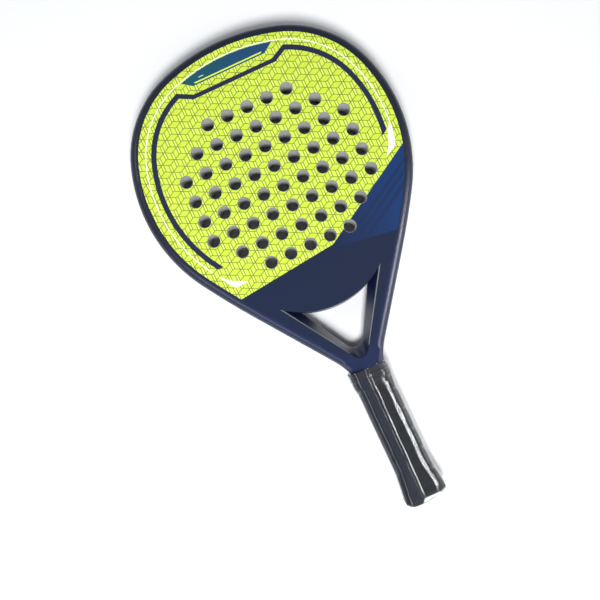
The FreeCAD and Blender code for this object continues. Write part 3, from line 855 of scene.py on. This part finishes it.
def make_webbing_weave():
    """Threads across a strip and picks along it, every second thread shifted by half a pick."""
    tree, given, result = group(
        "webbing weave",
        [("Sheet", "Vector", None), ("Picks", "Float", 120.0), ("Ends", "Float", 12.0)],
        [("Height", "Float", None), ("Tone", "Float", None)],
    )
    split = node(tree, "SeparateXYZ", {0: given["Sheet"]}).outputs
    across = maths(tree, "MULTIPLY", split[0], given["Ends"])
    along = maths(tree, "MULTIPLY", split[1], given["Picks"])
    odd = maths(tree, "MODULO", maths(tree, "FLOOR", across), 2.0)
    shifted = maths(tree, "MULTIPLY_ADD", odd, 0.5, along)
    rib = maths(tree, "ABSOLUTE", maths(tree, "SINE", maths(tree, "MULTIPLY", across, math.pi)))
    pick = maths(tree, "ABSOLUTE", maths(tree, "SINE", maths(tree, "MULTIPLY", shifted, math.pi)))
    height = maths(tree, "MULTIPLY", maths(tree, "SQRT", rib), pick)
    tree.links.new(height, result["Height"])
    # The tone follows the weave's height, so the gaps between threads are painted darker: painted
    # shade.
    tree.links.new(maths(tree, "MULTIPLY_ADD", height, 0.7, 0.15), result["Tone"])


def webbing():
    """Flat woven polyester, on the strip's own UV map."""
    material, tree, shader, _ = new_material(
        "strap webbing", Sheen_Weight=0.12, Specular_IOR_Level=0.3)
    sheet = node(tree, "UVMap", uv_map="sheet").outputs["UV"]
    weave = use(tree, "webbing weave", {"Sheet": sheet, "Picks": 150.0, "Ends": 14.0})
    # The weave's tone paints shade into the gaps between threads.
    feed(tree, shader, "Base Color", mix(tree, weave["Tone"], colour("07080E"), colour("1D2132")))
    feed(tree, shader, "Roughness", maths(tree, "MULTIPLY_ADD", weave["Tone"], 0.1, 0.7))
    feed(tree, shader, "Normal", bump(tree, weave["Height"], 0.25 * MM))
    return material


make_webbing_weave()

# %% Strap path
STRAP_THICK = 2.0 * MM
STRAP_GAP = 0.3 * MM
STRAP_AT_BUTT = np.radians((101.5, 147.5))
UPPER_AT_COLLAR = np.radians((103.0, 148.0))
UNDER_AT_COLLAR = np.radians((134.0, 176.0))
STRAP_TOP = COLLAR_HIGH.y + 1.0 * MM
STRAP_FOOT = BUTT_Y + 0.5 * MM


def strap_angles(y, at_collar):
    """The two edges of a layer of the strap, as angles round the handle, at a height."""
    share = np.clip((y - BUTT_Y) / (COLLAR_HIGH.y - BUTT_Y), 0.0, 1.1)
    return STRAP_AT_BUTT + (at_collar - STRAP_AT_BUTT) * share


def carried(angle, y):
    """What lies under the strap: the grip, and the collar where it is thicker."""
    over_grip = section_radius(angle, y, GRIP_THICK + 0.1 * MM)
    bulge = np.clip((y - COLLAR_LOW.y) / (3 * MM) + 1.0, 0.0, 1.0)
    bulge = bulge * bulge * (3 - 2 * bulge)
    return over_grip + bulge * (COLLAR_THICK + FRAME_RIB - GRIP_THICK)


STRAP_LAYER = STRAP_THICK / 2
STRAP_COLUMNS = 13


def strap_strip(y, at_collar, lift):
    """A row of points across a layer of the strap, lifted off what carries it."""
    low, high = strap_angles(y, at_collar)
    angles = np.linspace(low, high, STRAP_COLUMNS)
    return ring(y, carried(angles, y) + STRAP_GAP + lift, angles)


def closed_strip(tops, bottoms):
    """Rows round a flat strip: across the top, down one edge, back underneath, and up."""
    rows = []
    for top, bottom in zip(tops, bottoms):
        rows.append(np.concatenate([top, bottom[::-1], top[:1]]))
    start, end = rows[0].mean(axis=0), rows[-1].mean(axis=0)
    return [np.tile(start, (len(rows[0]), 1))] + rows + [np.tile(end, (len(rows[0]), 1))]


def strap_layer(name, at_collar, low_lift, high_lift):
    """One layer of webbing, between two heights above what carries it."""
    tops = [strap_strip(y, at_collar, high_lift) for y in strap_heights]
    bottoms = [strap_strip(y, at_collar, low_lift) for y in strap_heights]
    return rolled_sheet(name, closed_strip(tops, bottoms), webbing_cloth)


webbing_cloth = webbing()
strap_heights = np.linspace(STRAP_TOP, STRAP_FOOT, 90)
under_layer = strap_layer("strap_under_layer", UNDER_AT_COLLAR, 0.0, 0.92 * STRAP_LAYER)
upper_layer = strap_layer("strap_upper_layer", UPPER_AT_COLLAR, 1.08 * STRAP_LAYER, STRAP_THICK)

# %% Strap fold over the butt
FOLD_STEPS = 16
FOLD_REACH = 3.6 * MM
FOLD_TUCK = 0.16            # the share of the radius that the fold comes in by, at a right angle
FOLD_ROUNDING = 0.8         # how much shorter the fold is at its two edges


def fold_row(lift, turn):
    """A row of the fold that turns from the strap down over the butt's end and inwards."""
    angles = np.linspace(*STRAP_AT_BUTT, STRAP_COLUMNS)
    across = np.abs(np.linspace(-1.0, 1.0, STRAP_COLUMNS))
    outer = carried(angles, BUTT_Y) + STRAP_GAP + lift
    inward = 1.0 - math.cos(turn)
    radius = outer - (outer * FOLD_TUCK) * inward - 0.6 * MM * inward * inward
    reach = (FOLD_REACH + lift * 0.4) * (1.0 - FOLD_ROUNDING * across ** 2.6)
    return ring(STRAP_FOOT - reach * math.sin(turn), radius, angles)


turns = np.linspace(0.0, math.radians(150.0), FOLD_STEPS)
fold_tops = [fold_row(STRAP_THICK, t) for t in turns]
fold_bottoms = [fold_row(0.0, t) for t in turns]
strap_fold = rolled_sheet("strap_fold", closed_strip(fold_tops, fold_bottoms), webbing_cloth)
for piece in (under_layer, upper_layer, strap_fold):
    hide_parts("wrist_strap")

# %% [markdown]
# ## The shrunk film
#
# The film is a clear sleeve shrunk by heat. It pulls taut, so it touches only what stands out,
# and spans the hollows in a straight line: beside the strap's edges and down from the collar. It
# is stretched round the handle much more than along it, so it dips a little at each lap of the grip.
# That is worked out as a taut skin. Each point of the skin is pulled to the middle of its
# neighbours again and again, but never below what it covers. Then come the creases,
# fine ones round the collar and the butt, and the seam: a sleeve is a flat film whose two edges
# are lapped and welded, and the lap's two slopes catch the light along the handle.

# %% Film: what it covers
FILM_GAP = 0.1 * MM
FILM_THICK = 0.3 * MM
FILM_TOP = COLLAR_HIGH.y + 1.5 * MM
FILM_ANGLES = np.linspace(0.0, 2 * math.pi, 265)
END_HEIGHTS = [BUTT_Y - d * MM for d in (0.6, 1.3, 2.1, 3.0, 3.8)]
FILM_HEIGHTS = np.array(list(np.linspace(FILM_TOP, BUTT_Y, 240)) + END_HEIGHTS)
END_SHARES = (0.985, 0.955, 0.90, 0.80, 0.66)
STRAP_EDGE = math.radians(1.5)


def covered(angle, y, end_share):
    """The radius of everything under the film at a height, on all sides."""
    if y < COLLAR_LOW.y:
        radius = grip_outside(angle, y)
    else:
        radius = collar_outside(angle, min(y, COLLAR_HIGH.y))
    radius = radius * end_share
    at = max(y, BUTT_Y)
    for at_collar, lift in ((UPPER_AT_COLLAR, STRAP_THICK), (UNDER_AT_COLLAR, STRAP_LAYER)):
        low, high = strap_angles(at, at_collar)
        strap = (carried(angle, at) + STRAP_GAP + lift) * (0.5 + 0.5 * end_share)
        on_strap = (angle > low - STRAP_EDGE) & (angle < high + STRAP_EDGE)
        radius = np.where(on_strap, np.maximum(radius, strap), radius)
    return radius


shares = np.ones(len(FILM_HEIGHTS))
shares[-len(END_SHARES):] = END_SHARES
support = np.array([covered(FILM_ANGLES[:-1], y, s) for y, s in zip(FILM_HEIGHTS, shares)])
support += FILM_GAP

# %% Film: pull it taut
PULLS = 300
ROUND_PULL = 0.86           # the film's tension round the handle,
LONG_PULL = 0.14            # and along it
skin = support.copy()
for _ in range(PULLS):
    sideways = (np.roll(skin, 1, axis=1) + np.roll(skin, -1, axis=1)) / 2
    lengthways = skin.copy()
    lengthways[1:-1] = (skin[:-2] + skin[2:]) / 2
    skin = np.maximum(support, ROUND_PULL * sideways + LONG_PULL * lengthways)
slack = skin - support
print("film bridges up to", round(float(slack.max()) / MM, 2), "mm")

# %% Film: creases
SEAM_AT_BUTT = math.radians(101.0)
SEAM_AT_COLLAR = math.radians(96.5)
SEAM_WIDTH = 2.9 * MM
SEAM_STEP = 0.48 * MM
SEAM_RAMP = 1.00 * MM
GIRTH_RADIUS = 17.0         # turns an angle into a way round the film, in mm
CREASE_TAUT = 0.16 * MM     # how high creases stand where the film touches,
CREASE_SLACK = 0.35         # and what each mm of slack adds to that,
SLACK_LIMIT = 0.8 * MM      # up to this much slack
CREASE_MEAN = 0.6


def crease(angle, y):
    """Height of the creases, between about -1 and 1, sharp on one side like folded foil."""
    girth = angle * GIRTH_RADIUS
    long_ones = noise.noise(Vector((girth / 2.4, y / MM / 30.0, 3.1)))
    slanted = noise.noise(Vector(((girth + 0.35 * y / MM) / 2.6, y / MM / 9.0, 7.7)))
    cross = noise.noise(Vector((girth / 7.0, y / MM / 1.3, 1.9)))
    near_collar = min(1.0, max(0.0, (y - COLLAR_LOW.y) / (5 * MM) + 1.0))
    near_butt = min(1.0, max(0.0, (BUTT_Y - y) / (22 * MM) + 1.0))
    folds = 1.0 - 2.0 * abs(slanted)
    loose = 0.2 + 0.6 * near_butt
    return loose * (0.4 * long_ones + 0.3 * folds * abs(folds)) + (0.32 + 0.6 * near_collar) * cross


def seam_height(angle, y, radius):
    """The welded lap: a flat ridge with a slope on each side."""
    share = (y - BUTT_Y) / (FILM_TOP - BUTT_Y)
    middle = SEAM_AT_BUTT + (SEAM_AT_COLLAR - SEAM_AT_BUTT) * share
    off = np.abs(angle - middle) * radius
    rise = np.clip((SEAM_WIDTH / 2 - off) / SEAM_RAMP + 0.5, 0.0, 1.0)
    return SEAM_STEP * rise * rise * (3.0 - 2.0 * rise)


creased = skin.copy()
for row, y in enumerate(FILM_HEIGHTS):
    for column, angle in enumerate(FILM_ANGLES[:-1]):
        height = CREASE_TAUT + CREASE_SLACK * min(float(slack[row, column]), SLACK_LIMIT)
        creased[row, column] += height * max(0.0, CREASE_MEAN + crease(angle, y))
    creased[row] += seam_height(FILM_ANGLES[:-1], y, creased[row])
seam_ready = np.concatenate([creased, creased[:, :1]], axis=1)

# %% Film finish and shape


def clear_film():
    """Clear film: glassy to the eye, but lamps shine straight through it onto what it covers."""
    material, tree, shader, place = new_material(
        "clear film", Base_Color=(0.97, 0.98, 1.0, 1.0), Transmission_Weight=1.0, IOR=1.42)
    ripple = node(tree, "TexNoise", {"Vector": place, "Scale": 380.0, "Detail": 2.0}).outputs[0]
    feed(tree, shader, "Roughness", maths(tree, "MULTIPLY_ADD", ripple, 0.05, 0.02))
    feed(tree, shader, "Normal", bump(tree, ripple, 0.03 * MM))
    output = tree.nodes["Material Output"]
    through = node(tree, "BsdfTransparent", {"Color": (0.93, 0.94, 0.95, 1.0)}).outputs[0]
    shadow = node(tree, "LightPath").outputs["Is Shadow Ray"]
    both = node(tree, "MixShader", {0: shadow, 1: shader.outputs[0], 2: through}).outputs[0]
    tree.links.new(both, output.inputs["Surface"])
    return material


film_rows = [ring(y, r, FILM_ANGLES) for y, r in zip(FILM_HEIGHTS, seam_ready)]
film_rows += [ring(y, r - FILM_THICK, FILM_ANGLES)
              for y, r in zip(FILM_HEIGHTS[::-2], seam_ready[::-2])]
film_rows.append(film_rows[0])
film = rolled_sheet("shrunk_film", film_rows, clear_film())
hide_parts("shrink_film")

# %% [markdown]
# ## Floor
#
# The floor is pale and plain, and far larger than the view, so that its light is even.

# %% Floor
floor_mesh = bmesh.new()
bmesh.ops.create_grid(floor_mesh, x_segments=1, y_segments=1, size=3.0)
floor_data = bpy.data.meshes.new("floor")
floor_mesh.to_mesh(floor_data)
floor_mesh.free()
floor = bpy.data.objects.new("floor", floor_data)
floor.location.z = -0.0005
bpy.context.scene.collection.objects.link(floor)
floor_paint, _, floor_shader, _ = new_material("floor paint", Roughness=0.75)
floor_shader.inputs["Base Color"].default_value = colour("F2F3F4")
floor_data.materials.append(floor_paint)
